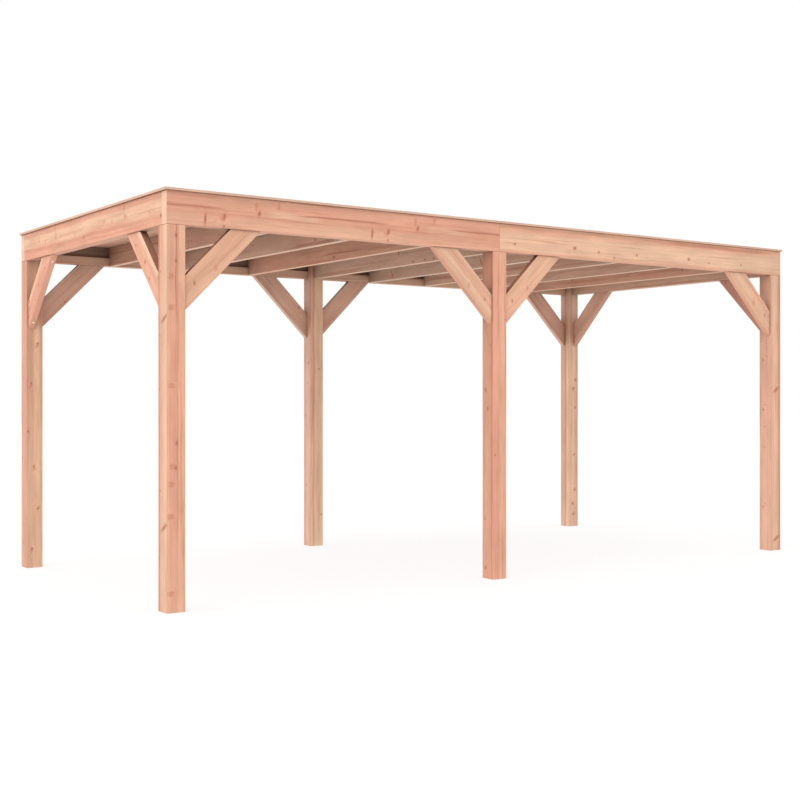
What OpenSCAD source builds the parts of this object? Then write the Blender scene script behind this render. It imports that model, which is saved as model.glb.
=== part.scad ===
// Timber carport: six notched posts carry a rebated ring beam, stiffened by braces.
// Joists on the beams' ledges hold a flat roof behind a capped edge.
// Origin on the ground at the middle of the plan, long sides along X, front at -Y.

/* [Plan and height] */
// Length of the left-hand long beams, from the left end to the butt joint
left_bay_l = 2500; // [2000:10:3200]
// Length of the right-hand long beams, from the butt joint to the right end
right_bay_l = 3000; // [2600:10:3600]
// Length of the short beams, which fit between the long beams
short_beam_l = 2500; // [1800:10:3200]
// Height of the beams' underside above the ground
clear_h = 2295; // [1900:5:2600]

/* [Posts] */
// Width of the square posts
post_w = 120; // [100:1:150]

/* [Ring beam] */
// Thickness of the beams
beam_t = 70; // [50:1:85]
// Height of the beams
beam_h = 200; // [180:1:240]
// Height of the ledge that the joists bear on
ledge_h = 65; // [40:1:100]
// Depth of the rebate above the ledge
rebate_d = 25; // [10:1:35]

/* [Braces] */
// Thickness of the braces
brace_t = 45; // [35:1:60]
// Width of the braces, square to their length
brace_w = 145; // [90:1:170]
// Length of the braces along their lower edge
brace_l = 720; // [500:10:900]

/* [Joists] */
// Thickness of the joists
joist_t = 45; // [35:1:60]
// Height of the joists, and of the post tongues beside them
joist_h = 145; // [120:1:165]
// Spacing of the joists in the left bay, counted from the middle joist
left_pitch = 604; // [450:1:700]
// Spacing of the joists in the right bay, counted from the middle joist
right_pitch = 593; // [450:1:700]

/* [Roof] */
// Thickness of the roof deck on the joists
deck_t = 18; // [12:1:25]
// Thickness of the roofing sheet on the deck
sheet_t = 2; // [1:0.5:4]
// Thickness of the cover boards on the ring beam
cover_t = 15; // [10:1:25]
// Width of the cover boards
cover_w = 90; // [85:1:130]
// Overhang of the cover boards outside the ring beam
cover_overhang = 12; // [5:1:25]

/* [Hidden] */
// Signs of the four sides
left = -1;
right = 1;
front = -1;
back = 1;

// Half the plan, over the ring beam
half_l = (left_bay_l + right_bay_l) / 2;
half_w = short_beam_l / 2 + beam_t;

// Butt joint of the long beams, over the middle of the middle posts
joint_x = left_bay_l - half_l;

// Faces of the posts that the braces along the long sides stand against
left_face = post_w - half_l;
middle_left_face = joint_x - post_w / 2;
middle_right_face = joint_x + post_w / 2;
right_face = half_l - post_w;

// Legs that a brace at 45 degrees takes up along the post and the beam
brace_outer = brace_l / sqrt(2);
brace_inner = brace_outer - brace_w * sqrt(2);

// Setback of the braces from the outer faces, centred under the beams
brace_setback = (beam_t - brace_t) / 2;

// Heights of the roof layers
deck_z = clear_h + joist_h;
sheet_z = deck_z + deck_t;
cover_z = clear_h + beam_h;

// Roof tray between the short beams and the backs of the rebates
tray_l = 2 * (half_l - beam_t);
tray_w = short_beam_l + 2 * rebate_d;

// Extra reach of cutting solids past the faces that they open
cut = 1;

left_joists = 3;
right_joists = 4;

// Colours of the timber and of the roofing sheet
post_wood = [0.87, 0.66, 0.53];
beam_wood = [0.86, 0.64, 0.52];
brace_wood = [0.89, 0.69, 0.56];
joist_wood = [0.78, 0.58, 0.47];
deck_wood = [0.74, 0.57, 0.46];
cover_wood = [0.82, 0.66, 0.53];
roofing = [0.12, 0.12, 0.13];

// Box from one corner to the opposite one, whichever way they lie
module span_box(a, b) {
  low = [for (i = [0:2]) min(a[i], b[i])];
  high = [for (i = [0:2]) max(a[i], b[i])];
  translate(low)
    cube(high - low);
}

// Corner post: its head is notched on both outer faces for the ring beam
module corner_post(sx, sy) {
  foot_x = sx * half_l;
  foot_y = sy * half_w;
  head_x = sx * (half_l - post_w);
  head_y = sy * (half_w - post_w);
  color(post_wood)
    difference() {
      span_box([foot_x, foot_y, 0], [head_x, head_y, deck_z]);
      span_box([foot_x + sx * cut, foot_y + sy * cut, clear_h],
               [sx * (half_l - beam_t), head_y - sy * cut, deck_z + cut]);
      span_box([foot_x + sx * cut, foot_y + sy * cut, clear_h],
               [head_x - sx * cut, sy * (half_w - beam_t), deck_z + cut]);
    }
}

// Middle post: its head is notched on the outer face, under the butt joint
module middle_post(sy) {
  color(post_wood)
    difference() {
      span_box([middle_left_face, sy * half_w, 0],
               [middle_right_face, sy * (half_w - post_w), deck_z]);
      span_box([middle_left_face - cut, sy * (half_w + cut), clear_h],
               [middle_right_face + cut, sy * (half_w - beam_t), deck_z + cut]);
    }
}

// Long beam from an end of the plan to the butt joint, rebated inside the short beam
module long_beam(sx, sy) {
  color(beam_wood)
    difference() {
      span_box([sx * half_l, sy * half_w, clear_h],
               [joint_x, sy * (half_w - beam_t), cover_z]);
      span_box([sx * (half_l - beam_t), sy * (half_w - beam_t + rebate_d), clear_h + ledge_h],
               [joint_x - sx * cut, sy * (half_w - beam_t - cut), cover_z + cut]);
    }
}

// Short beam between the two long beams
module short_beam(sx) {
  color(beam_wood)
    span_box([sx * half_l, -short_beam_l / 2, clear_h],
             [sx * (half_l - beam_t), short_beam_l / 2, cover_z]);
}

// Side view of a brace: away from the post, and down from the beam
module brace_profile() {
  polygon([[0, -brace_inner], [brace_inner, 0], [brace_outer, 0], [0, -brace_outer]]);
}

// Brace from a point under the beam, its thickness on one side of its heading
module brace(at, heading, thick_side) {
  color(brace_wood)
    translate(at)
      rotate([0, 0, heading])
        rotate([90, 0, 0])
          translate([0, 0, thick_side > 0 ? -brace_t : 0])
            linear_extrude(brace_t)
              brace_profile();
}

// Brace in a long side, centred under the beam
module brace_along(post_face_x, toward, sy) {
  brace([post_face_x, sy * (half_w - brace_setback), clear_h], toward > 0 ? 0 : 180, -sy * toward);
}

// Brace in a short side, centred under the beam
module brace_across(sx, sy) {
  brace([sx * (half_l - brace_setback), sy * (half_w - post_w), clear_h], sy > 0 ? 270 : 90, -sx * sy);
}

// Joist whose ends are notched over the ledges of the long beams
module joist(x) {
  color(joist_wood)
    translate([x - joist_t / 2, 0, clear_h])
      rotate([90, 0, 90])
        linear_extrude(joist_t)
          polygon([
            [-short_beam_l / 2, 0], [short_beam_l / 2, 0],
            [short_beam_l / 2, ledge_h], [tray_w / 2, ledge_h],
            [tray_w / 2, joist_h], [-tray_w / 2, joist_h],
            [-tray_w / 2, ledge_h], [-short_beam_l / 2, ledge_h]
          ]);
}

// Plain joist between the tongues of the middle posts
module middle_joist() {
  clear_w = 2 * (half_w - post_w);
  color(joist_wood)
    translate([joint_x - joist_t / 2, -clear_w / 2, clear_h])
      cube([joist_t, clear_w, joist_h]);
}

// Deck over the joists
module roof_deck() {
  color(deck_wood)
    translate([-tray_l / 2, -tray_w / 2, deck_z])
      cube([tray_l, tray_w, deck_t]);
}

// Roofing sheet, turned up against the ring beam as far as the cover boards
module roof_sheet() {
  color(roofing)
    translate([0, 0, sheet_z])
      difference() {
        linear_extrude(cover_z - sheet_z)
          square([tray_l, tray_w], center = true);
        translate([0, 0, sheet_t])
          linear_extrude(cover_z - sheet_z)
            square([tray_l - 2 * sheet_t, tray_w - 2 * sheet_t], center = true);
      }
}

// Cover board along a long beam, mitred at the corner and square at the butt joint
module long_cover(sx, sy) {
  corner_x = sx * (half_l + cover_overhang);
  edge_y = sy * (half_w + cover_overhang);
  color(cover_wood)
    translate([0, 0, cover_z])
      linear_extrude(cover_t)
        polygon([
          [corner_x, edge_y], [joint_x, edge_y],
          [joint_x, edge_y - sy * cover_w], [corner_x - sx * cover_w, edge_y - sy * cover_w]
        ]);
}

// Cover board along a short beam, mitred at both corners
module short_cover(sx) {
  edge_x = sx * (half_l + cover_overhang);
  corner_y = half_w + cover_overhang;
  color(cover_wood)
    translate([0, 0, cover_z])
      linear_extrude(cover_t)
        polygon([
          [edge_x, -corner_y], [edge_x, corner_y],
          [edge_x - sx * cover_w, corner_y - cover_w], [edge_x - sx * cover_w, cover_w - corner_y]
        ]);
}

corner_post(left, front);  // post_front_left
middle_post(front);  // post_front_middle
corner_post(right, front);  // post_front_right
corner_post(left, back);  // post_back_left
middle_post(back);  // post_back_middle
corner_post(right, back);  // post_back_right

long_beam(left, front);  // beam_front_left
long_beam(right, front);  // beam_front_right
long_beam(left, back);  // beam_back_left
long_beam(right, back);  // beam_back_right
short_beam(left);  // beam_left
short_beam(right);  // beam_right

brace_along(left_face, right, front);  // brace_front_left_along
brace_across(left, front);  // brace_front_left_across
brace_along(right_face, left, front);  // brace_front_right_along
brace_across(right, front);  // brace_front_right_across
brace_along(left_face, right, back);  // brace_back_left_along
brace_across(left, back);  // brace_back_left_across
brace_along(right_face, left, back);  // brace_back_right_along
brace_across(right, back);  // brace_back_right_across
brace_along(middle_left_face, left, front);  // brace_front_middle_leftward
brace_along(middle_right_face, right, front);  // brace_front_middle_rightward
brace_along(middle_left_face, left, back);  // brace_back_middle_leftward
brace_along(middle_right_face, right, back);  // brace_back_middle_rightward

for (i = [1 : left_joists])
  joist(joint_x - (left_joists + 1 - i) * left_pitch);
middle_joist();  // joist_middle
for (i = [1 : right_joists])
  joist(joint_x + i * right_pitch);

roof_deck();
roof_sheet();
long_cover(left, front);  // cover_front_left
long_cover(right, front);  // cover_front_right
long_cover(left, back);  // cover_back_left
long_cover(right, back);  // cover_back_right
short_cover(left);  // cover_left
short_cover(right);  // cover_right
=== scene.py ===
"""Timber carport: planed softwood with grain and knots, roof boards and screws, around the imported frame."""

import math
import random

import bmesh
import bpy
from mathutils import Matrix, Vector


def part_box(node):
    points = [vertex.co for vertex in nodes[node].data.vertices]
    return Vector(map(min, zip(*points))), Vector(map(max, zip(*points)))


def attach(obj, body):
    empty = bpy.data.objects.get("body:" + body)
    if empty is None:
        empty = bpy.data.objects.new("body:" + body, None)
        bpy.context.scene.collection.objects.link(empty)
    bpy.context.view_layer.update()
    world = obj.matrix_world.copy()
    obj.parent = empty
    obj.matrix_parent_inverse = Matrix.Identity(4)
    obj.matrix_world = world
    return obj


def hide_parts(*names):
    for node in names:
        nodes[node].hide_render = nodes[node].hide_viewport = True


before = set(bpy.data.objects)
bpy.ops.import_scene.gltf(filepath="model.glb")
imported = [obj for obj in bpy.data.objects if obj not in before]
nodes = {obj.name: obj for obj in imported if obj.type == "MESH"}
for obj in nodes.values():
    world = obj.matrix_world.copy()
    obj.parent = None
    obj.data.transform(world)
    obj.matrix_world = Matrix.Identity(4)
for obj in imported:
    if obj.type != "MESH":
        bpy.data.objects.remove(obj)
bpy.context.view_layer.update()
scene = bpy.context.scene
scene.view_settings.view_transform = "Standard"

X, Y, Z = Vector((1, 0, 0)), Vector((0, 1, 0)), Vector((0, 0, 1))

# Camera: level, at the photograph's viewpoint, with its principal point off the picture's middle
CAMERA_PLACE = (-5.890, -8.401, 1.266)
CAMERA_HEADING = 54.19
FOCAL_PX = 1289.9
PRINCIPAL_PX = (438.3, 398.5)
PICTURE_PX = 800
SENSOR_MM = 36
VIEW_END = 500

# Eased edges of the timbers, and of the thin cover boards
EDGE_EASE = 0.003
COVER_EASE = 0.0012
EASE_SEGMENTS = 2
EASE_FROM_DEGREES = 30
WELD_DISTANCE = 0.00005

# Colours of the wood and its marks
HEART_PINK = "#EAA387"
HEART_TAN = "#E9B28F"
SAPWOOD = "#F4C9A5"
END_GRAIN = "#EABB9B"
# Greyer tone: painted shade on the timbers under the roof, and a plain tone shift on a few outer faces
GREY_TONE_AND_SHADE = "#CDC3B1"
LATEWOOD = "#CB8567"
STREAK = "#B96F54"
FLAME = "#CC7A5C"
KNOT = "#A6543A"
KNOT_RIM = "#7F402C"
# Dark brown of the painted shade in nooks and shade bands
NOOK_SHADE = "#46342D"
EVEN_PINK = (0.5, 0.5)

# Grain: width of a year's ring, and the scales of its noises across and along a timber
RING_WIDTH = 0.0055
WANDER_SCALE = (3.0, 0.7)
BLOTCH_SCALE = (9.0, 0.9)
STREAK_SCALE = (60.0, 1.3)
FIBRE_SCALE = (520.0, 16.0)
CLOUD_SCALE = (16.0, 3.5)
CURL_SCALE = (70.0, 55.0)

# How strongly each kind of mark colours the wood
LATE_SHARE = 0.18
BAND_SHARE = 0.34
STREAK_SHARE = 0.40
FLAME_SHARE = 0.54
HALO_SHARE = 0.45
RIM_SHARE = 0.35

# Distance from a knot, in knot radii, where there is none
NO_KNOT = 99

# Finish of the planed wood
WOOD_ROUGHNESS = 0.68
LATE_GLOSS = 0.10
WOOD_SPECULAR = 0.3
GRAIN_STRENGTH = 0.35
GRAIN_HEIGHT = 0.0006

# Painted shade in nooks, from ambient occlusion: how far away a neighbour counts, and how strongly; and the
# depth of the painted shade bands
NOOK_REACH = 0.35
NOOK_POWER = 0.56
NOOK_SAMPLES = 6
SHADE_DEPTH = 0.7

# Grain of its own for each timber, and random marks where none are given
SEED_STEP = 1.7
KNOTS_PER_METRE = 3.0
STREAKS_PER_FACE = 3
BRACE_STREAK = 0.25
OTHER_STREAK = 0.5

# Roof boards under the roofing, with chamfered lower edges and butt joints over these joists
BOARD_ROWS = 20
BOARD_GAP = 0.0006
BOARD_CHAMFER = 0.004
BOARD_JOINTS = ("joist_left_2", "joist_middle", "joist_right_2")
BOARD_LOOK = {"Grey Tone And Shade": 0.25}
BOARD_PITH = (0.0, 0.12)
BOARD_WOOD_SEED = 3.0
BOARD_DRAW = 7
BOARD_SEEDS = 40

# Roofing sheet
ROOFING_BLACK = "#2A2A2C"
ROOFING_DUST = "#5A5752"
DUST_SCALE = (1.3, 1.3, 1.3)
RUBBER_SCALE = (400, 400, 400)

# Screw heads on the lower faces of the braces across the left side
SCREW_R = 0.0075
SCREW_H = 0.003
SCREW_FROM_END = 0.064
SCREW_STEPS = 24
SCREW_BRIGHT = "#FFFAEE"
SCREW_DULL = "#EFE9DC"
SPECKLE_SCALE = (900, 900, 900)

# Outline of a screw head from its foot over its dome into its recess, in shares of its radius and height
SCREW_RINGS = ((1.0, 0.0), (1.0, 0.35), (0.86, 0.75), (0.62, 1.0), (0.42, 1.0), (0.36, 0.3))
RECESS_WITHIN = 0.5
RECESS_LOBES = 6
RECESS_WAVE = 0.12

# Studio floor
FLOOR_R = 60
FLOOR_SEGMENTS = 96
FLOOR_DROP = 0.002
FLOOR_GREY = (0.25, 0.25, 0.25, 1)
FLOOR_GLOW = 0.76

# Light from all round, and a wide lamp from the left front
SKY_STRENGTH = 1.05
SUN_TOWARD = (0.85, 0.25, -0.45)
SUN_SPREAD = 70
SUN_STRENGTH = 0.9

# Light that the floor returns: straight up from below, and at a slant
FLOOR_UNDER = (0.92, 0.90, 0.90, 1)
FLOOR_ASIDE = (0.62, 0.85, 0.95, 1)


def linear(hex_colour):
    """Linear RGBA of a colour written in sRGB."""
    parts = [int(hex_colour[i:i + 2], 16) / 255 for i in (1, 3, 5)]
    return [c / 12.92 if c <= 0.04045 else ((c + 0.055) / 1.055) ** 2.4 for c in parts] + [1.0]


class Graph:
    """Short calls for building a node tree."""

    def __init__(self, tree):
        self.tree = tree

    def node(self, kind, **settings):
        made = self.tree.nodes.new(kind)
        for name, value in settings.items():
            setattr(made, name, value)
        return made

    def put(self, socket, value):
        if isinstance(value, bpy.types.NodeSocket):
            self.tree.links.new(value, socket)
        elif value is not None:
            socket.default_value = value

    def math(self, operation, a, b=None, c=None, clamp=False):
        made = self.node("ShaderNodeMath", operation=operation, use_clamp=clamp)
        for socket, value in zip(made.inputs, (a, b, c)):
            self.put(socket, value)
        return made.outputs[0]

    def vector(self, operation, a, b=None):
        made = self.node("ShaderNodeVectorMath", operation=operation)
        for socket, value in zip(made.inputs, (a, b)):
            self.put(socket, value)
        return made.outputs["Value" if operation in ("DOT_PRODUCT", "LENGTH") else "Vector"]

    def join(self, x, y, z):
        made = self.node("ShaderNodeCombineXYZ")
        for socket, value in zip(made.inputs, (x, y, z)):
            self.put(socket, value)
        return made.outputs[0]

    def noise(self, vector, detail=2.0, output=0):
        made = self.node("ShaderNodeTexNoise", noise_dimensions="3D")
        self.put(made.inputs["Vector"], vector)
        made.inputs["Scale"].default_value = 1.0
        made.inputs["Detail"].default_value = detail
        return made.outputs[output]

    def smooth(self, value, low, high):
        made = self.node("ShaderNodeMapRange", interpolation_type="SMOOTHSTEP")
        for socket, number in zip(made.inputs, (value, low, high, 0.0, 1.0)):
            self.put(socket, number)
        return made.outputs[0]

    def mix(self, factor, a, b, blend="MIX"):
        made = self.node("ShaderNodeMix", data_type="RGBA", blend_type=blend)
        self.put(made.inputs["Factor"], factor)
        self.put(made.inputs["A"], a)
        self.put(made.inputs["B"], b)
        return made.outputs["Result"]


def new_group(name, inputs, outputs):
    """An empty shader node group with its sockets: (name, kind, value) for each input."""
    tree = bpy.data.node_groups.new(name, "ShaderNodeTree")
    for title, kind, value in inputs:
        socket = tree.interface.new_socket(title, in_out="INPUT", socket_type=kind)
        if value is not None:
            socket.default_value = value
    for title, kind in outputs:
        tree.interface.new_socket(title, in_out="OUTPUT", socket_type=kind)
    graph = Graph(tree)
    return tree, graph, graph.node("NodeGroupInput").outputs, graph.node("NodeGroupOutput").inputs


FLOAT, COLOUR, VECTOR = "NodeSocketFloat", "NodeSocketColor", "NodeSocketVector"


def knot_group():
    """Distance from one knot in knot radii, or the nearest knot's so far if that is less."""
    tree, g, given, result = new_group(
        "knot",
        [("Along", FLOAT, 0), ("Across", FLOAT, 0), ("Centre Along", FLOAT, 0), ("Centre Across", FLOAT, 0),
         ("Radius", FLOAT, 0.01), ("Stretch", FLOAT, 1.3), ("Tilt", FLOAT, 0),
         ("Nearest", FLOAT, NO_KNOT)],
        [("Nearest", FLOAT)])
    along = g.math("SUBTRACT", given["Along"], given["Centre Along"])
    across = g.math("SUBTRACT", given["Across"], given["Centre Across"])
    turn_cos = g.math("COSINE", given["Tilt"])
    turn_sin = g.math("SINE", given["Tilt"])
    length = g.math("ADD", g.math("MULTIPLY", along, turn_cos), g.math("MULTIPLY", across, turn_sin))
    width = g.math("SUBTRACT", g.math("MULTIPLY", across, turn_cos), g.math("MULTIPLY", along, turn_sin))
    length = g.math("DIVIDE", length, given["Stretch"])
    squares = g.math("ADD", g.math("MULTIPLY", length, length), g.math("MULTIPLY", width, width))
    distance = g.math("SQRT", squares)
    g.put(result["Nearest"], g.math("MINIMUM", given["Nearest"], g.math("DIVIDE", distance, given["Radius"])))
    return tree


def stripe_group():
    """Strength of one band along the grain, or the strongest band's so far if that is more."""
    tree, g, given, result = new_group(
        "stripe",
        [("Along", FLOAT, 0), ("Across", FLOAT, 0), ("Centre Along", FLOAT, 0), ("Half Length", FLOAT, 9),
         ("Centre Across", FLOAT, 0), ("Half Width", FLOAT, 0.01), ("Strength", FLOAT, 1),
         ("Most", FLOAT, 0)],
        [("Most", FLOAT)])
    along = g.math("ABSOLUTE", g.math("SUBTRACT", given["Along"], given["Centre Along"]))
    across = g.math("ABSOLUTE", g.math("SUBTRACT", given["Across"], given["Centre Across"]))
    fade_along = g.smooth(g.math("DIVIDE", along, given["Half Length"]), 1.0, 0.55)
    fade_across = g.smooth(g.math("DIVIDE", across, given["Half Width"]), 1.15, 0.7)
    band = g.math("MULTIPLY", g.math("MULTIPLY", fade_along, fade_across), given["Strength"])
    g.put(result["Most"], g.math("MAXIMUM", given["Most"], band))
    return tree


def face_group():
    """Number of the face that a point lies on, its place across that face and the share of end grain."""
    tree, g, given, result = new_group(
        "face",
        [("Wide", FLOAT, 0), ("Thick", FLOAT, 0), ("Normal", VECTOR, None), ("Along Axis", VECTOR, None),
         ("Wide Axis", VECTOR, None), ("Thick Axis", VECTOR, None)],
        [("Face", FLOAT), ("Across", FLOAT), ("End", FLOAT)])
    end = g.math("ABSOLUTE", g.vector("DOT_PRODUCT", given["Normal"], given["Along Axis"]))
    on_wide = g.vector("DOT_PRODUCT", given["Normal"], given["Wide Axis"])
    on_thick = g.vector("DOT_PRODUCT", given["Normal"], given["Thick Axis"])
    edge_face = g.math("GREATER_THAN", g.math("ABSOLUTE", on_wide), g.math("ABSOLUTE", on_thick))
    main = g.math("MULTIPLY", g.math("GREATER_THAN", on_thick, 0.0), 2.0)
    edge = g.math("MULTIPLY_ADD", g.math("GREATER_THAN", on_wide, 0.0), 2.0, 1.0)
    face = g.math("ADD", main, g.math("MULTIPLY", edge_face, g.math("SUBTRACT", edge, main)))
    place = g.math("ADD", given["Wide"],
                   g.math("MULTIPLY", edge_face, g.math("SUBTRACT", given["Thick"], given["Wide"])))
    g.put(result["Face"], face)
    g.put(result["Across"], g.math("ADD", face, place))
    g.put(result["End"], g.smooth(end, 0.8, 0.95))
    return tree


def softwood_group():
    """Planed softwood cut from a log: growth rings about a pith, fibres, streaks, sapwood and knots, with
    painted shade in nooks and bands, and painted light on some pale bands.
    """
    tree, g, given, result = new_group(
        "softwood",
        [("Along", FLOAT, 0), ("Wide", FLOAT, 0), ("Thick", FLOAT, 0), ("Seed", FLOAT, 0), ("Face", FLOAT, 0),
         ("Pith Wide", FLOAT, 0), ("Pith Thick", FLOAT, 0.1), ("Knot", FLOAT, NO_KNOT),
         ("Flame", FLOAT, NO_KNOT),
         ("Sap And Light", FLOAT, 0), ("Streak", FLOAT, 0), ("Shade", FLOAT, 0), ("End", FLOAT, 0),
         ("Pink Main", FLOAT, 0.5), ("Pink Side", FLOAT, 0.5), ("Grey Tone And Shade", FLOAT, 0)],
        [("Color", COLOUR), ("Roughness", FLOAT), ("Normal", VECTOR)])
    face_seed = g.math("MULTIPLY_ADD", given["Face"], 7.3, given["Seed"])
    place = g.join(given["Along"], given["Wide"], given["Thick"])
    shift = g.join(g.math("MULTIPLY", face_seed, 3.7), g.math("MULTIPLY", face_seed, 1.3), face_seed)
    seeded = g.vector("ADD", place, shift)

    def stretched(across_scale, along_scale):
        return g.vector("MULTIPLY", seeded, (along_scale, across_scale, across_scale))

    # Growth rings about a wandering pith, pushed aside by knots
    wander = g.vector("SUBTRACT", g.noise(stretched(*WANDER_SCALE), output=1), (0.5, 0.5, 0.5))
    moved = g.vector("ADD", place, g.vector("MULTIPLY", wander, (0, 0.05, 0.05)))
    from_pith = g.vector("SUBTRACT", moved, g.join(given["Along"], given["Pith Wide"], given["Pith Thick"]))
    radius = g.vector("LENGTH", from_pith)
    knot_push = g.smooth(g.math("MINIMUM", given["Knot"], given["Flame"]), 4.0, 0.0)
    ring_radius = g.math("MULTIPLY_ADD", g.math("MULTIPLY", knot_push, knot_push), 0.008, radius)
    years = g.noise(g.join(g.math("MULTIPLY", ring_radius, 22.0), face_seed, 0.0), detail=3.0)
    phase = g.math("FRACT", g.math("MULTIPLY_ADD", years, 5.0, g.math("DIVIDE", ring_radius, RING_WIDTH)))
    late = g.math("MULTIPLY", g.smooth(phase, 0.25, 0.85), g.smooth(phase, 1.0, 0.9))
    band_place = g.join(g.math("MULTIPLY", ring_radius, 42.0), face_seed, 4.0)
    bands = g.smooth(g.noise(band_place, detail=3.0), 0.46, 0.66)

    # Colour of the wood before its knots
    blotch = g.math("SUBTRACT", g.smooth(g.noise(stretched(*BLOTCH_SCALE)), 0.3, 0.7), 0.5)
    streak = g.smooth(g.noise(stretched(*STREAK_SCALE), detail=3.0), 0.58, 0.72)
    fibre = g.noise(stretched(*FIBRE_SCALE))
    side = g.math("MODULO", given["Face"], 2.0)
    pink_step = g.math("SUBTRACT", given["Pink Side"], given["Pink Main"])
    pink = g.math("MULTIPLY_ADD", side, pink_step, given["Pink Main"])
    pink = g.math("MULTIPLY_ADD", blotch, 0.6, pink, clamp=True)
    colour = g.mix(pink, linear(HEART_TAN), linear(HEART_PINK))
    # Greyer tone: painted shade under the roof, a plain tone shift on a few outer faces
    colour = g.mix(given["Grey Tone And Shade"], colour, linear(GREY_TONE_AND_SHADE))
    # Pale bands: sapwood, and where marked in the looks, painted light
    colour = g.mix(given["Sap And Light"], colour, linear(SAPWOOD))
    colour = g.mix(g.math("MULTIPLY", late, LATE_SHARE), colour, linear(LATEWOOD))
    colour = g.mix(g.math("MULTIPLY", bands, BAND_SHARE), colour, linear(LATEWOOD))
    colour = g.mix(g.math("MULTIPLY", streak, STREAK_SHARE), colour, linear(STREAK))
    colour = g.mix(given["Streak"], colour, linear(STREAK))
    colour = g.mix(given["End"], colour, linear(END_GRAIN))
    cloud = g.noise(stretched(*CLOUD_SCALE))
    shade = g.math("MULTIPLY_ADD", cloud, 0.44, g.math("MULTIPLY_ADD", fibre, 0.26, 0.67))
    colour = g.mix(1.0, colour, g.join(shade, shade, shade), blend="MULTIPLY")

    # Knots: a dark heart with rings, a darker rim and a warm halo, and soft curls of grain over buried knots
    curl = g.noise(stretched(*CURL_SCALE))
    ragged = g.math("MULTIPLY_ADD", g.math("SUBTRACT", curl, 0.5), 1.6, given["Flame"])
    flame = g.math("MULTIPLY", g.smooth(ragged, 1.3, 0.35), FLAME_SHARE)
    colour = g.mix(flame, colour, linear(FLAME))
    halo = g.smooth(given["Knot"], 2.6, 0.8)
    core = g.smooth(given["Knot"], 1.2, 0.55)
    rim = g.math("MULTIPLY", g.smooth(given["Knot"], 1.3, 1.0), g.smooth(given["Knot"], 0.7, 0.95))
    heart_rings = g.math("MULTIPLY_ADD", g.math("SINE", g.math("MULTIPLY", given["Knot"], 22.0)), 0.1, 0.6)
    colour = g.mix(g.math("MULTIPLY", halo, HALO_SHARE), colour, linear(FLAME))
    colour = g.mix(g.math("MULTIPLY", core, heart_rings), colour, linear(KNOT))
    colour = g.mix(g.math("MULTIPLY", rim, RIM_SHARE), colour, linear(KNOT_RIM))

    # Painted shade: corners and recesses, and the given shade bands, are darkened towards a dark brown
    nook = g.node("ShaderNodeAmbientOcclusion", samples=NOOK_SAMPLES)
    nook.inputs["Distance"].default_value = NOOK_REACH
    open_share = g.math("POWER", nook.outputs["AO"], NOOK_POWER)
    own_shade = g.math("MULTIPLY", given["Shade"], g.math("SUBTRACT", 1.0, given["End"]))
    dim = g.math("MULTIPLY", open_share, g.math("MULTIPLY_ADD", own_shade, -SHADE_DEPTH, 1.0))
    colour = g.mix(g.math("SUBTRACT", 1.0, dim), colour, linear(NOOK_SHADE))

    # Finish: planed, with the hard late wood slightly smoother and proud
    gloss = g.math("MULTIPLY_ADD", late, -LATE_GLOSS, WOOD_ROUGHNESS)
    height = g.math("MULTIPLY_ADD", late, 0.5, g.math("MULTIPLY", fibre, 0.7))
    bump = g.node("ShaderNodeBump")
    bump.inputs["Strength"].default_value = GRAIN_STRENGTH
    bump.inputs["Distance"].default_value = GRAIN_HEIGHT
    g.put(bump.inputs["Height"], height)
    g.put(result["Color"], colour)
    g.put(result["Roughness"], gloss)
    g.put(result["Normal"], bump.outputs[0])
    return tree


KNOT_GROUP = knot_group()
STRIPE_GROUP = stripe_group()
FACE_GROUP = face_group()
WOOD_GROUP = softwood_group()


def new_material(name):
    """A material with only its output and a Principled shader: the graph and the shader's sockets."""
    material = bpy.data.materials.new(name)
    material.use_nodes = True
    material.node_tree.nodes.clear()
    g = Graph(material.node_tree)
    shader = g.node("ShaderNodeBsdfPrincipled")
    g.put(g.node("ShaderNodeOutputMaterial").inputs["Surface"], shader.outputs[0])
    return material, g, shader.inputs


def chain(g, group, along, across, titles, rows, total):
    """Groups of one kind in a row, each with its own numbers, that pass on their total."""
    last = None
    for row in rows:
        link = g.node("ShaderNodeGroup", node_tree=group)
        g.put(link.inputs["Along"], along)
        g.put(link.inputs["Across"], across)
        for title, value in zip(titles, row):
            link.inputs[title].default_value = value
        g.put(link.inputs[total], last)
        last = link.outputs[total]
    return last


KNOT_ROW = ("Centre Along", "Centre Across", "Radius", "Stretch", "Tilt")
STRIPE_ROW = ("Centre Along", "Half Length", "Centre Across", "Half Width", "Strength")


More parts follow.
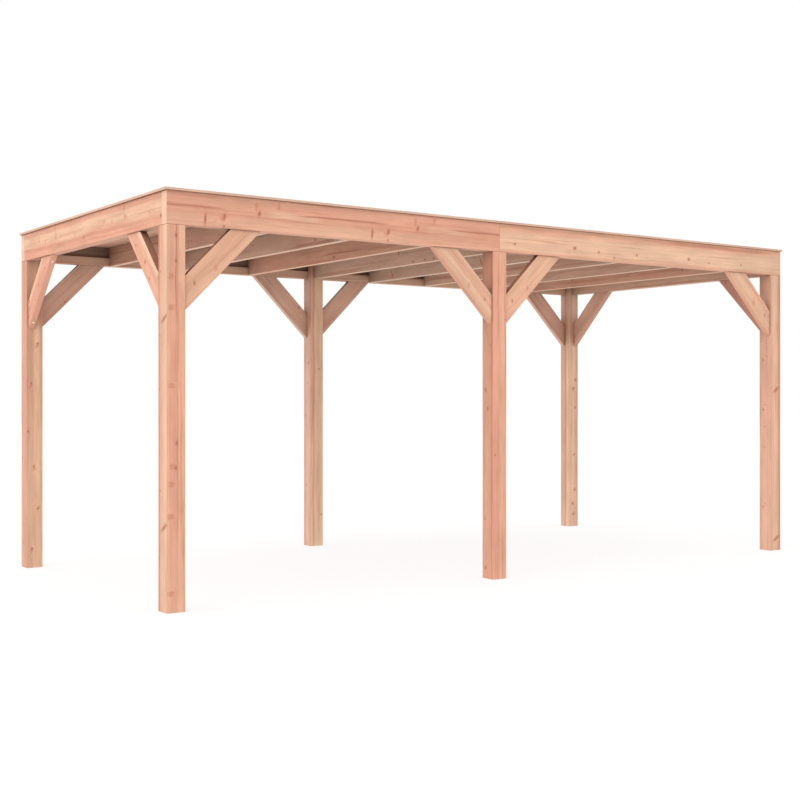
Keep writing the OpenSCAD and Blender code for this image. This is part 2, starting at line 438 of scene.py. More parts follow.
def wood_material(name, centre, axes, seed, pith, look, board_seed=None):
    """Softwood for one member: axes are its directions along the grain, across its width and its thickness.
    Its look gives knots, flames, pale bands of sapwood and of painted light, streaks and bands of painted
    shade by rows, how pink its faces are and how grey they turn in painted shade.
    Places across are counted from the middle of a face, plus the face's number."""
    material, g, shader = new_material(name)
    coordinates = g.node("ShaderNodeTexCoord").outputs
    place = g.vector("SUBTRACT", coordinates["Object"], centre)
    parts = [g.vector("DOT_PRODUCT", place, axis) for axis in axes]
    face = g.node("ShaderNodeGroup", node_tree=FACE_GROUP)
    for title, value in zip(("Wide", "Thick", "Normal", "Along Axis", "Wide Axis", "Thick Axis"),
                            (parts[1], parts[2], coordinates["Normal"], axes[0], axes[1], axes[2])):
        g.put(face.inputs[title], value)
    across = face.outputs["Across"]
    bend_place = g.join(g.math("MULTIPLY", parts[0], 2.2), seed, face.outputs["Face"])
    bend = g.math("SUBTRACT", g.noise(bend_place), 0.5)
    bent = g.math("MULTIPLY_ADD", bend, 0.03, across)
    wood = g.node("ShaderNodeGroup", node_tree=WOOD_GROUP)
    for title, part in zip(("Along", "Wide", "Thick"), parts):
        g.put(wood.inputs[title], part)
    for title in ("Knot", "Flame"):
        rows = look.get(title, ())
        g.put(wood.inputs[title], chain(g, KNOT_GROUP, parts[0], across, KNOT_ROW, rows, "Nearest"))
    for title in ("Sap And Light", "Streak", "Shade"):
        place_across = across if title == "Shade" else bent
        rows = look.get(title, ())
        g.put(wood.inputs[title], chain(g, STRIPE_GROUP, parts[0], place_across, STRIPE_ROW, rows, "Most"))
    own_seed = seed
    if board_seed:
        board = g.node("ShaderNodeAttribute", attribute_name=board_seed)
        own_seed = g.math("ADD", board.outputs["Fac"], seed)
    g.put(wood.inputs["Seed"], own_seed)
    g.put(wood.inputs["Face"], face.outputs["Face"])
    g.put(wood.inputs["End"], face.outputs["End"])
    wood.inputs["Pith Wide"].default_value = pith[0]
    wood.inputs["Pith Thick"].default_value = pith[1]
    pink = look.get("Pink", EVEN_PINK)
    wood.inputs["Pink Main"].default_value = pink[0]
    wood.inputs["Pink Side"].default_value = pink[1]
    wood.inputs["Grey Tone And Shade"].default_value = look.get("Grey Tone And Shade", 0.0)
    g.put(shader["Base Color"], wood.outputs["Color"])
    g.put(shader["Roughness"], wood.outputs["Roughness"])
    g.put(shader["Normal"], wood.outputs["Normal"])
    shader["Specular IOR Level"].default_value = WOOD_SPECULAR
    return material


def member_axes(name):
    """Directions of a member: along its grain, across its width and through its thickness."""
    words = name.split("_")
    if words[0] == "post":
        return Z, X, Y
    if words[0] == "brace":
        headings = {"leftward": -X, "rightward": X, "along": X if words[2] == "left" else -X,
                    "across": Y if words[1] == "front" else -Y}
        away = headings[words[-1]]
        return (Z + away).normalized(), (Z - away).normalized(), X if words[-1] == "across" else Y
    short_way = words[0] == "joist" or len(words) == 2
    along, other = (Y, X) if short_way else (X, Y)
    return (along, other, Z) if words[0] == "cover" else (along, Z, other)


# Faces of a member by number: 0 low and 2 high through its thickness, 1 low and 3 high across its width
FRONT, LEFT, BACK, UPPER = 0.0, 1.0, 2.0, 3.0

# Middle and half length of a mark that runs from end to end
WHOLE = (0.0, 9.0)

# Tilt of a mark that lies straight across the grain
ACROSS_GRAIN = 1.57

# Soft bars over a buried knot: radius, stretch and distance from its middle
BAR_RADIUS = 0.0105
BAR_STRETCH = 2.2
BAR_OFFSET = 0.007

# Painted light: the lower faces of the joists made pale, for the light from below
JOIST_LIT_EDGE = [(*WHOLE, LEFT, 0.03, 0.45)]

# The front left beam and the left beam show the same marks again at these steps
BEAM_REPEAT = 1.189
LEFT_REPEAT = 1.26

# Knots down the back right post: height and place across its front
BACK_RIGHT_KNOTS = [(0.232, 0.028), (0.144, 0.0), (-0.044, 0.02), (-0.507, 0.01), (-0.858, 0.02),
                    (-0.995, -0.01), (-1.096, 0.0)]


def dots(face, radius, stretch, tilt, places):
    """Rows of like knots on one face."""
    return [(along, face + across, radius, stretch, tilt) for along, across in places]


def bars(face, places):
    """Curls of grain over buried knots, each seen as two soft bars across the face."""
    return [(along + offset, face + across, BAR_RADIUS, BAR_STRETCH, ACROSS_GRAIN)
            for along, across in places for offset in (-BAR_OFFSET, BAR_OFFSET)]


def repeated(rows, step, turns=(-1, 0, 1)):
    """Rows of marks, again and again at a step along the timber."""
    return [(row[0] + step * turn, *row[1:]) for turn in turns for row in rows]


def dark_rebate(face):
    """Painted shade on the recess above the ledge of a long beam."""
    return [(*WHOLE, face + 0.036, 0.075, 0.7)]


# The knot and the curl of grain that the braces along the front share
BRACE_MARKS = {"Knot": dots(FRONT, 0.0055, 1.8, 0.785, [(-0.195, 0.003)]),
               "Flame": dots(FRONT, 0.013, 1.9, 0.785, [(-0.028, -0.026)])}

# Looks that several timbers share
LEFT_SIDE_BRACE = {
    "Pink": (0.65, 0.75),
    "Sap And Light": [(*WHOLE, FRONT + 0.055, 0.018, 0.8)],
    "Shade": [(*WHOLE, FRONT, 0.09, 0.04)],
    "Knot": dots(FRONT, 0.008, 1.4, 0.5, [(-0.198, 0.052), (0.02, -0.01)])
    + dots(FRONT, 0.005, 1.4, 0.3, [(0.2, -0.03), (-0.1, -0.04)])}
BACK_BEAM = {
    "Pink": (0.3, 0.3),
    "Grey Tone And Shade": 0.25,
    # A pale band of painted light on the lit ledge low on the inner face
    "Sap And Light": [(*WHOLE, FRONT - 0.07, 0.04, 0.5)],
    "Shade": dark_rebate(FRONT)}
COVER_LOOK = {
    "Pink": (0.4, 0.5),
    "Grey Tone And Shade": 0.32,
    "Shade": [(*WHOLE, LEFT, 0.05, 0.04), (*WHOLE, UPPER, 0.05, 0.04)]}

# Looks of the timbers after the photograph, in metres from each timber's middle
# Shade rows are painted shade, on faces and edges that get less light
LOOKS = {
    "post_front_left": {
        "Pink": (0.85, 0.75),
        "Knot": dots(FRONT, 0.006, 1.8, 0.0, [(1.01, 0.0), (0.86, 0.0), (-0.217, 0.004), (-0.364, 0.0)])
        + dots(LEFT, 0.0085, 4.2, -1.05, [(0.519, -0.026), (-0.715, -0.026)])
        + dots(LEFT, 0.008, 1.4, -1.05, [(0.505, -0.008), (-0.729, -0.008)])
        + dots(LEFT, 0.004, 1.5, 0.0, [(0.42, 0.036), (0.1, 0.04), (-0.5, 0.03), (0.8, 0.03), (-0.9, 0.04)]),
        "Flame": bars(FRONT, [(0.767, -0.031), (0.583, -0.031), (0.121, -0.028), (-0.357, -0.020),
                              (-0.461, -0.029), (-0.652, -0.033), (-1.107, -0.031)]),
        "Sap And Light": [(*WHOLE, LEFT - 0.028, 0.036, 0.75), (*WHOLE, FRONT - 0.052, 0.014, 0.3),
                (*WHOLE, FRONT + 0.035, 0.022, 0.25)],
        "Streak": [(0.85, 0.42, FRONT + 0.001, 0.004, 0.75), (0.2, 1.4, FRONT + 0.012, 0.005, 0.35),
                   (-0.3, 0.6, FRONT + 0.035, 0.006, 0.35), (*WHOLE, LEFT + 0.048, 0.014, 0.5)],
        "Shade": [(*WHOLE, LEFT, 0.07, 0.07), (*WHOLE, FRONT - 0.025, 0.035, 0.05)]},
    "post_back_left": {
        "Pink": (0.15, 0.85),
        "Knot": dots(FRONT, 0.0055, 1.4, 0.2, [(0.458, 0.024), (0.161, -0.026), (-0.2, -0.05),
                                               (-0.461, -0.006), (-0.78, 0.024), (-1.077, -0.02)])
        + dots(LEFT, 0.0045, 1.4, 0.0, [(0.35, 0.0), (0.2, 0.02), (-0.4, 0.04), (-0.9, 0.0), (-1.03, 0.01)]),
        "Flame": dots(FRONT, 0.012, 1.6, 0.5, [(0.44, 0.02), (0.14, -0.03), (-0.48, 0.0), (-0.77, 0.03),
                                               (-1.09, -0.02)]),
        "Grey Tone And Shade": 0.08,
        # The first pale band, low on the front, is painted light
        "Sap And Light": [(-1.1, 1.2, FRONT, 0.07, 0.35), (*WHOLE, FRONT + 0.017, 0.018, 0.45)],
        "Streak": [(*WHOLE, FRONT - 0.036, 0.028, 0.22), (*WHOLE, FRONT + 0.052, 0.012, 0.2)],
        "Shade": [(*WHOLE, LEFT, 0.07, 0.2)]},
    "post_front_middle": {
        "Pink": (0.95, 0.9),
        "Knot": dots(LEFT, 0.007, 1.5, 0.4, [(0.106, 0.024), (-0.025, 0.0), (-1.144, 0.024)])
        + dots(FRONT, 0.004, 1.3, 0.0, [(0.6, 0.05), (-0.35, -0.04)]),
        "Flame": dots(LEFT, 0.009, 2.0, 0.8, [(0.42, -0.03), (-0.8, 0.03)]),
        "Sap And Light": [(*WHOLE, FRONT + 0.02, 0.02, 0.25)],
        "Streak": [(*WHOLE, LEFT - 0.043, 0.009, 0.45), (0.5, 0.6, FRONT + 0.05, 0.006, 0.4),
                   (0.75, 0.35, FRONT - 0.01, 0.004, 0.5)],
        "Shade": [(*WHOLE, LEFT, 0.07, 0.2)]},
    "post_front_right": {
        "Pink": (0.35, 0.35),
        "Knot": dots(FRONT, 0.010, 3.2, 0.98, [(0.119, 0.006), (-1.12, 0.006)])
        + dots(LEFT, 0.0055, 1.4, 0.2, [(0.368, 0.021), (-0.046, 0.021), (-0.859, 0.021)]),
        "Flame": dots(LEFT, 0.006, 4.0, 1.2, [(0.40, -0.01), (-0.01, -0.01), (-0.19, 0.0), (-0.36, 0.01),
                                              (-0.83, 0.0)]),
        "Grey Tone And Shade": 0.12,
        "Sap And Light": [(*WHOLE, FRONT + 0.008, 0.034, 0.42)],
        "Streak": [(*WHOLE, FRONT + 0.042, 0.020, 0.55), (*WHOLE, FRONT - 0.055, 0.005, 0.3)]},
    "post_back_middle": {
        "Pink": (0.15, 0.45),
        "Grey Tone And Shade": 0.26,
        # The second pale band, low on the front, is painted light
        "Sap And Light": [(*WHOLE, FRONT + 0.02, 0.05, 0.7), (-1.1, 1.2, FRONT, 0.07, 0.75)],
        "Knot": dots(LEFT, 0.005, 1.4, 0.2, [(0.18, 0.0), (-0.1, 0.03), (-0.7, 0.02), (0.35, -0.02)])
        + dots(FRONT, 0.005, 1.4, 0.2, [(-0.95, 0.045), (0.3, 0.02)]),
        "Streak": [(*WHOLE, FRONT - 0.033, 0.010, 0.38), (*WHOLE, LEFT - 0.050, 0.012, 0.25)]},
    "post_back_right": {
        "Pink": (0.5, 0.35),
        "Grey Tone And Shade": 0.22,
        "Sap And Light": [(*WHOLE, FRONT - 0.025, 0.04, 0.6), (*WHOLE, LEFT - 0.042, 0.018, 0.5)],
        "Streak": [(*WHOLE, LEFT - 0.010, 0.009, 0.4), (*WHOLE, FRONT + 0.045, 0.012, 0.15)],
        "Knot": dots(FRONT, 0.006, 1.3, 0.2, BACK_RIGHT_KNOTS),
        "Flame": dots(FRONT, 0.016, 1.4, 0.4, BACK_RIGHT_KNOTS)},
    "beam_front_left": {
        "Pink": (0.85, 0.5),
        "Knot": repeated(dots(FRONT, 0.006, 4.6, 1.5, [(0.187, -0.052)])
                         + dots(FRONT, 0.008, 1.8, 1.3, [(0.314, -0.030), (0.55, 0.007)])
                         + dots(FRONT, 0.005, 1.3, 1.5, [(0.31, -0.088)]), BEAM_REPEAT),
        "Flame": repeated(dots(FRONT, 0.012, 2.2, 1.5, [(0.686, 0.067), (0.53, 0.05)])
                          + dots(FRONT, 0.016, 1.5, 0.0, [(0.30, -0.045)]), BEAM_REPEAT),
        "Sap And Light": [(-0.4, 1.9, FRONT - 0.062, 0.036, 0.28)]
        + repeated([(0.80, 0.22, FRONT + 0.005, 0.024, 0.45)], BEAM_REPEAT),
        "Streak": [(-0.85, 0.6, FRONT + 0.04, 0.025, 0.1)]
        + repeated([(-0.035, 0.40, FRONT + 0.018, 0.006, 0.75), (0.30, 0.35, FRONT + 0.008, 0.003, 0.32),
                    (0.60, 0.40, FRONT - 0.016, 0.004, 0.3)], BEAM_REPEAT),
        "Shade": dark_rebate(BACK)
        + [(-0.9, 1.5, FRONT + 0.06, 0.06, 0.09), (-1.1, 0.4, FRONT - 0.09, 0.02, 0.14)]},
    "beam_front_right": {
        "Pink": (0.4, 0.4),
        "Knot": dots(FRONT, 0.006, 1.3, 0.5, [(-1.363, -0.038), (-0.559, -0.042), (-0.167, -0.038)])
        + dots(FRONT, 0.009, 1.2, 0.3, [(-0.797, -0.028), (0.401, -0.033)])
        + dots(FRONT, 0.005, 1.3, 0.4, [(0.63, -0.05), (1.009, -0.043), (-0.4, -0.075)]),
        "Sap And Light": [(*WHOLE, FRONT - 0.02, 0.07, 0.55)],
        "Streak": [(0.75, 0.8, FRONT + 0.075, 0.013, 0.5), (-0.75, 0.9, FRONT + 0.08, 0.010, 0.22),
                   (-0.9, 0.5, FRONT - 0.06, 0.005, 0.12),
                   (-1.0, 0.4, FRONT + 0.02, 0.003, 0.3), (-0.1, 0.5, FRONT - 0.07, 0.004, 0.35)],
        "Shade": dark_rebate(BACK) + [(1.4, 0.6, FRONT - 0.02, 0.08, 0.16)]},
    "beam_left": {
        "Pink": (0.7, 0.6),
        "Knot": repeated(dots(FRONT, 0.009, 1.2, 0.3, [(-1.238, -0.044)])
                         + dots(FRONT, 0.0035, 2.6, 1.5, [(-0.681, 0.010), (-0.327, 0.018), (-0.475, 0.004),
                                                          (-1.075, -0.008)])
                         + dots(FRONT, 0.004, 5.0, 1.5, [(-0.675, 0.068)]), LEFT_REPEAT, (0, 1)),
        "Flame": repeated(dots(FRONT, 0.010, 2.8, 1.5, [(-0.70, 0.012), (-0.35, 0.018)]),
                          LEFT_REPEAT, (0, 1)),
        "Sap And Light": [(*WHOLE, FRONT + 0.016, 0.042, 0.55)]
        + repeated([(-1.05, 0.34, FRONT - 0.022, 0.026, 0.38)], LEFT_REPEAT, (0, 1)),
        "Shade": [(*WHOLE, LEFT, 0.04, 0.15), (*WHOLE, FRONT + 0.05, 0.06, 0.05)],
        # The thin streak at the top edge of the front face is a painted shadow under the cover board
        "Streak": [(0.0, 1.6, FRONT - 0.044, 0.014, 0.45), (-0.2, 0.9, FRONT - 0.075, 0.006, 0.3),
                   (*WHOLE, FRONT - 0.052, 0.040, 0.15),
                   (*WHOLE, FRONT + 0.083, 0.022, 0.18), (*WHOLE, FRONT + 0.097, 0.007, 0.4)]
        + repeated([(-0.42, 0.42, FRONT - 0.022, 0.026, 0.24)], LEFT_REPEAT, (0, 1))},
    "beam_right": {
        "Pink": (0.4, 0.4),
        "Grey Tone And Shade": 0.36,
        "Sap And Light": [(*WHOLE, FRONT, 0.11, 0.38)],
        "Knot": dots(FRONT, 0.006, 2.2, 1.3, [(-0.25, 0.0), (-0.6, 0.01), (-0.85, 0.0), (0.5, -0.02),
                                              (0.95, 0.0)])},
    "beam_back_left": BACK_BEAM,
    "beam_back_right": BACK_BEAM,
    "brace_front_left_across": LEFT_SIDE_BRACE,
    "brace_back_left_across": LEFT_SIDE_BRACE,
    "brace_front_right_across": {
        "Pink": (0.9, 0.9),
        "Grey Tone And Shade": 0.05,
        "Streak": [(*WHOLE, LEFT, 0.03, 0.55)],
        "Shade": [(*WHOLE, FRONT, 0.09, 0.22), (*WHOLE, LEFT, 0.04, 0.2)]},
    "brace_back_right_across": {
        "Pink": (0.5, 0.9),
        "Grey Tone And Shade": 0.22,
        "Streak": [(*WHOLE, LEFT, 0.03, 0.45)],
        "Shade": [(*WHOLE, FRONT, 0.09, 0.08), (*WHOLE, LEFT, 0.04, 0.05)]},
    "brace_front_left_along": {
        **BRACE_MARKS,
        "Pink": (0.35, 0.4),
        "Sap And Light": [(*WHOLE, FRONT, 0.08, 0.3)],
        "Streak": [(0.1, 0.25, FRONT - 0.02, 0.006, 0.3)]},
    "brace_front_middle_leftward": {
        **BRACE_MARKS,
        "Pink": (0.9, 0.6),
        "Sap And Light": [(*WHOLE, FRONT, 0.08, 0.58)]},
    "brace_front_middle_rightward": {
        **BRACE_MARKS,
        "Pink": (0.7, 0.5),
        "Sap And Light": [(*WHOLE, FRONT, 0.08, 0.28)]},
    "brace_front_right_along": {
        **BRACE_MARKS,
        "Pink": (0.5, 0.5),
        "Sap And Light": [(*WHOLE, FRONT, 0.08, 0.5)]},
    **{n: {"Pink": (0.4, 0.4), "Grey Tone And Shade": 0.3}
       for n in nodes if n.startswith("brace_back") and not n.endswith("across")},
    "joist_left_1": {
        "Pink": (0.4, 0.3),
        "Grey Tone And Shade": 0.27,
        "Sap And Light": JOIST_LIT_EDGE},
    "joist_left_2": {
        "Pink": (0.4, 0.3),
        "Grey Tone And Shade": 0.4,
        "Sap And Light": [*JOIST_LIT_EDGE, (*WHOLE, FRONT, 0.08, 0.18)],
        "Streak": [(-0.85, 0.3, FRONT - 0.056, 0.010, 0.5), (0.3, 0.5, FRONT - 0.02, 0.006, 0.2)]},
    "joist_left_3": {
        "Pink": (0.5, 0.3),
        "Grey Tone And Shade": 0.12,
        "Sap And Light": JOIST_LIT_EDGE,
        "Streak": [(-0.24, 0.33, FRONT - 0.020, 0.006, 0.7), (-0.85, 0.35, FRONT - 0.03, 0.012, 0.4)]},
    "joist_middle": {
        "Pink": (0.4, 0.3),
        "Grey Tone And Shade": 0.46,
        "Sap And Light": [*JOIST_LIT_EDGE, (*WHOLE, FRONT, 0.08, 0.15)],
        "Knot": dots(FRONT, 0.006, 2.2, ACROSS_GRAIN, [(-0.089, 0.028)])
        + dots(FRONT, 0.006, 1.6, 0.2, [(-0.445, -0.052), (-0.283, -0.055), (-0.555, -0.053)]),
        "Streak": [(0.8, 0.4, FRONT - 0.052, 0.014, 0.35)]},
    "joist_right_1": {
        "Pink": (0.3, 0.3),
        "Grey Tone And Shade": 0.68,
        "Sap And Light": [*JOIST_LIT_EDGE, (*WHOLE, FRONT, 0.08, 0.3)],
        "Knot": dots(FRONT, 0.005, 6.0, 1.2, [(0.889, -0.03), (-0.367, -0.03)]),
        "Streak": [(0.2, 0.6, FRONT + 0.03, 0.008, 0.2)]},
    "joist_right_2": {
        "Pink": (0.4, 0.3),
        "Grey Tone And Shade": 0.4,
        "Sap And Light": [*JOIST_LIT_EDGE, (*WHOLE, FRONT, 0.08, 0.2)],
        "Knot": dots(FRONT, 0.005, 1.5, 0.2, [(0.926, -0.014), (1.031, -0.02)])},
    "joist_right_3": {
        "Pink": (0.4, 0.3),
        "Grey Tone And Shade": 0.48,
        "Sap And Light": [*JOIST_LIT_EDGE, (*WHOLE, FRONT, 0.08, 0.4)],
        "Streak": [(-0.3, 0.6, FRONT - 0.01, 0.006, 0.2)]},
    "joist_right_4": {
        "Pink": (0.5, 0.3),
        "Grey Tone And Shade": 0.14,
        "Sap And Light": JOIST_LIT_EDGE},
    **{n: COVER_LOOK for n in nodes if n.startswith("cover")},
}


def random_knots(rng, length, width):
    """A few knots on the two wide faces of a member, by its length in metres."""
    made = []
    for _ in range(int(length * KNOTS_PER_METRE + rng.random())):
        face = rng.choice((FRONT, BACK))
        made.append((rng.uniform(-0.48, 0.48) * length, face + rng.uniform(-0.42, 0.42) * width,
                     rng.uniform(0.0035, 0.006), rng.uniform(1.1, 1.9), rng.uniform(-0.5, 0.5)))
    return made


def random_streaks(rng, length, width, strength):
    """A few dark streaks along the two wide faces of a member."""
    return [(rng.uniform(-0.4, 0.4) * length, rng.uniform(0.15, 0.45) * length,
             face + rng.uniform(-0.42, 0.2) * width, rng.uniform(0.004, 0.012),
             rng.uniform(0.4, 1.0) * strength)
            for face in (FRONT, BACK) for _ in range(STREAKS_PER_FACE)]


def member_middle(piece, axes):
    """Middle of a member and its sizes along its own directions."""
    centre = Vector((0, 0, 0))
    sizes = []
    for axis in axes:
        reach = [(piece.matrix_world @ v.co).dot(axis) for v in piece.data.vertices]
        centre += axis * (min(reach) + max(reach)) / 2
        sizes.append(max(reach) - min(reach))
    return centre, sizes


def dress_member(number, name):
    """Material and eased edges of one timber, with its own grain."""
    rng = random.Random(number)
    axes = member_axes(name)
    centre, size = member_middle(nodes[name], axes)
    look = dict(LOOKS.get(name, {}))
    if "Knot" not in look:
        look["Knot"] = random_knots(rng, size[0], size[1])
    look.setdefault("Pink", (rng.uniform(0.2, 0.8), rng.uniform(0.2, 0.8)))
    if "Streak" not in look:
        strength = BRACE_STREAK if name.startswith("brace") else OTHER_STREAK
        look["Streak"] = random_streaks(rng, size[0], size[1], strength)
    if name.startswith("brace"):
        # Painted shade on the upper face of each brace
        look["Shade"] = [*look.get("Shade", ()), (*WHOLE, UPPER, 0.04, 0.6)]
    pith = (rng.uniform(-0.03, 0.03), rng.choice((-1, 1)) * rng.uniform(0.05, 0.16))
    nodes[name].data.materials.clear()
    material = wood_material(name + "_wood", centre, axes, number * SEED_STEP, pith, look)
    nodes[name].data.materials.append(material)
    ease_edges(nodes[name], COVER_EASE if name.startswith("cover") else EDGE_EASE)


def ease_edges(piece, width):
    """Planed timber's slightly rounded edges."""
    weld = piece.modifiers.new("weld", "WELD")
    weld.merge_threshold = WELD_DISTANCE
    bevel = piece.modifiers.new("ease", "BEVEL")
    bevel.width = width
    bevel.segments = EASE_SEGMENTS
    bevel.limit_method = "ANGLE"
    bevel.angle_limit = math.radians(EASE_FROM_DEGREES)
    bevel.harden_normals = True


timbers = [n for n in sorted(nodes) if not n.startswith("roof")]
for number, name in enumerate(timbers, start=1):
    dress_member(number, name)


def new_piece(name, bm, material):
    """A mesh piece of the carport that rides on its only body."""
    mesh = bpy.data.meshes.new(name)
    bm.to_mesh(mesh)
    bm.free()
    piece = bpy.data.objects.new(name, mesh)
    scene.collection.objects.link(piece)
    mesh.materials.append(material)
    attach(piece, "root")
    return piece


def add_board(bm, seed_layer, seed, x0, x1, y0, y1, z0, z1):
    """One roof board with chamfered lower edges, for the V joints that show from below."""
    c = BOARD_CHAMFER
    profile = [(y0, z1), (y0, z0 + c), (y0 + c, z0), (y1 - c, z0), (y1, z0 + c), (y1, z1)]
    ends = [[bm.verts.new((x, y, z)) for y, z in profile] for x in (x0, x1)]
    faces = [bm.faces.new(ends[0]), bm.faces.new(list(reversed(ends[1])))]
    for i in range(len(profile)):
        j = (i + 1) % len(profile)
        faces.append(bm.faces.new((ends[0][j], ends[0][i], ends[1][i], ends[1][j])))
    for face in faces:
        face[seed_layer] = seed


def roof_boards():
    """Boards of the roof deck, laid along the carport, with staggered joints over joists."""
    low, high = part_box("roof_deck")
    joint_lines = [sum((b.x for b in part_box(n)), 0.0) / 2 for n in BOARD_JOINTS]
    rng = random.Random(BOARD_DRAW)
    bm = bmesh.new()
    seed_layer = bm.faces.layers.float.new("board")
    pitch = (high.y - low.y) / BOARD_ROWS
    for row in range(BOARD_ROWS):
        y0 = low.y + row * pitch + BOARD_GAP / 2
        cut = joint_lines[row % len(joint_lines)]
        for x0, x1 in ((low.x, cut - BOARD_GAP / 2), (cut + BOARD_GAP / 2, high.x)):
            seed = rng.uniform(0, BOARD_SEEDS)
            add_board(bm, seed_layer, seed, x0, x1, y0, y0 + pitch - BOARD_GAP, low.z, high.z)
    bmesh.ops.recalc_face_normals(bm, faces=bm.faces)
    centre = (low + high) / 2
    material = wood_material("roof_board_wood", centre, (X, Y, Z), BOARD_WOOD_SEED, BOARD_PITH, BOARD_LOOK,
                             board_seed="board")
    piece = new_piece("roof_boards", bm, material)
    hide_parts("roof_deck")


def roofing_material():
    """Matt black rubber sheet with a faint grain and dust."""
    material, g, shader = new_material("roofing_rubber")
    place = g.node("ShaderNodeTexCoord").outputs["Object"]
    dust = g.smooth(g.noise(g.vector("MULTIPLY", place, DUST_SCALE), detail=4.0), 0.4, 0.75)
    grain = g.noise(g.vector("MULTIPLY", place, RUBBER_SCALE))
    colour = g.mix(g.math("MULTIPLY", dust, 0.35), linear(ROOFING_BLACK), linear(ROOFING_DUST))
    g.put(shader["Base Color"], colour)
    g.put(shader["Roughness"], g.math("MULTIPLY_ADD", dust, 0.2, 0.6))
    bump = g.node("ShaderNodeBump")
    bump.inputs["Strength"].default_value = 0.2
    bump.inputs["Distance"].default_value = 0.0005
    g.put(bump.inputs["Height"], grain)
    g.put(shader["Normal"], bump.outputs[0])
    return material


def screw_material():
    """Bright zinc-plated steel."""
    material, g, shader = new_material("screw_steel")
    place = g.node("ShaderNodeTexCoord").outputs["Object"]
    speckle = g.noise(g.vector("MULTIPLY", place, SPECKLE_SCALE))
    g.put(shader["Base Color"], g.mix(speckle, linear(SCREW_BRIGHT), linear(SCREW_DULL)))
    g.put(shader["Roughness"], g.math("MULTIPLY_ADD", speckle, 0.15, 0.25))
    shader["Metallic"].default_value = 0.9
    return material


def add_screw(bm, place, outward):
    """Domed screw head with a six-lobed recess, standing on a face."""
    side = outward.orthogonal().normalized()
    up = outward.cross(side)
    loops = []
    for share, rise in SCREW_RINGS:
        loop = []
        for i in range(SCREW_STEPS):
            angle = 2 * math.pi * i / SCREW_STEPS
            wave = RECESS_WAVE * math.cos(RECESS_LOBES * angle) if share < RECESS_WITHIN else 0
            spread = SCREW_R * share * (1 + wave)
            offset = side * math.cos(angle) * spread + up * math.sin(angle) * spread
            loop.append(bm.verts.new(place + offset + outward * SCREW_H * rise))
        loops.append(loop)
    for a, b in zip(loops, loops[1:]):
        for i in range(SCREW_STEPS):
            j = (i + 1) % SCREW_STEPS
            bm.faces.new((a[i], a[j], b[j], b[i]))
    bm.faces.new(loops[-1])
    bm.faces.new(list(reversed(loops[0])))


def brace_screws():
    """A screw near each end of the braces across the left side, driven in through their lower faces."""
    bm = bmesh.new()
    for name in timbers:
        if not name.endswith("left_across"):
            continue
        low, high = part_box(name)
        along, inward_up, _ = member_axes(name)
        outward = -inward_up
        middle = (low + high) / 2
        toward_y = 1 if along.y > 0 else -1
        foot = Vector((middle.x, low.y if toward_y > 0 else high.y, low.z))
        length = (high.z - low.z) * math.sqrt(2)
        for distance in (SCREW_FROM_END, length - SCREW_FROM_END):
            add_screw(bm, foot + along * distance, outward)
    bmesh.ops.recalc_face_normals(bm, faces=bm.faces)
    new_piece("brace_screws", bm, screw_material())


roof_boards()
brace_screws()
nodes["roof_sheet"].data.materials.clear()
nodes["roof_sheet"].data.materials.append(roofing_material())


def floor():
    """Pale studio floor that shows the carport's soft shadow, and lets the light from below through."""
    bm = bmesh.new()
    bmesh.ops.create_circle(bm, cap_ends=True, segments=FLOOR_SEGMENTS, radius=FLOOR_R)
    mesh = bpy.data.meshes.new("floor")
    bm.to_mesh(mesh)
    bm.free()
    piece = bpy.data.objects.new("floor", mesh)
    piece.location.z = -FLOOR_DROP
    piece.visible_shadow = False
    piece.visible_diffuse = False
    scene.collection.objects.link(piece)
    material = bpy.data.materials.new("floor_white")
    material.use_nodes = True
    material.node_tree.nodes.clear()
    g = Graph(material.node_tree)
    diffuse = g.node("ShaderNodeBsdfDiffuse")
    diffuse.inputs["Color"].default_value = FLOOR_GREY
    glow = g.node("ShaderNodeEmission")
    glow.inputs["Strength"].default_value = FLOOR_GLOW
    both = g.node("ShaderNodeAddShader")
    g.put(both.inputs[0], diffuse.outputs[0])
    g.put(both.inputs[1], glow.outputs[0])
    g.put(g.node("ShaderNodeOutputMaterial").inputs["Surface"], both.outputs[0])
    mesh.materials.append(material)


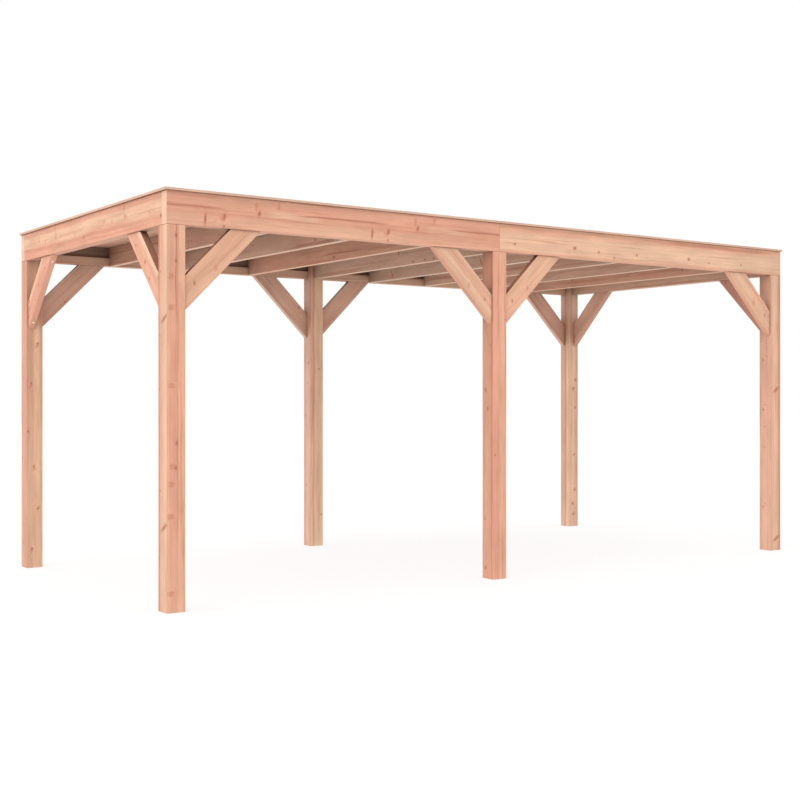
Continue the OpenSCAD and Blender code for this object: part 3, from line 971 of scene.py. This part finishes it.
def world_light(strength):
    """Even white surroundings: white to the eye and in reflections, and softer as light."""
    world = bpy.data.worlds.new("studio")
    scene.world = world
    world.use_nodes = True
    world.node_tree.nodes.clear()
    g = Graph(world.node_tree)
    path = g.node("ShaderNodeLightPath").outputs
    seen = g.math("MAXIMUM", path["Is Camera Ray"], path["Is Glossy Ray"])
    seen = g.math("MAXIMUM", seen, path["Is Transmission Ray"])
    split = g.node("ShaderNodeSeparateXYZ")
    g.put(split.inputs[0], g.node("ShaderNodeTexCoord").outputs["Generated"])
    from_floor = g.mix(g.smooth(split.outputs["Z"], -0.9, -0.25), FLOOR_UNDER, FLOOR_ASIDE)
    light = g.mix(g.smooth(split.outputs["Z"], -0.12, 0.12), from_floor, (strength, strength, strength, 1))
    background = g.node("ShaderNodeBackground")
    g.put(background.inputs["Color"], g.mix(seen, light, (1, 1, 1, 1)))
    g.put(g.node("ShaderNodeOutputWorld").inputs["Surface"], background.outputs[0])


def soft_sun(name, toward, spread, strength):
    """A wide lamp far away, so that near and far timbers get the same light."""
    lamp = bpy.data.lights.new(name, "SUN")
    lamp.angle = math.radians(spread)
    lamp.energy = strength
    holder = bpy.data.objects.new(name, lamp)
    holder.rotation_euler = Vector(toward).to_track_quat("-Z", "Y").to_euler()
    scene.collection.objects.link(holder)


def camera():
    """Level camera with the photograph's focal length and principal point."""
    data = bpy.data.cameras.new("camera")
    data.sensor_width = SENSOR_MM
    data.lens = FOCAL_PX * SENSOR_MM / PICTURE_PX
    data.shift_x = (PICTURE_PX / 2 - PRINCIPAL_PX[0]) / PICTURE_PX
    data.shift_y = (PRINCIPAL_PX[1] - PICTURE_PX / 2) / PICTURE_PX
    data.clip_end = VIEW_END
    holder = bpy.data.objects.new("camera", data)
    holder.location = CAMERA_PLACE
    holder.rotation_euler = (math.radians(90), 0, math.radians(CAMERA_HEADING - 90))
    scene.collection.objects.link(holder)
    scene.camera = holder


floor()
world_light(SKY_STRENGTH)
soft_sun("key", SUN_TOWARD, SUN_SPREAD, SUN_STRENGTH)
camera()
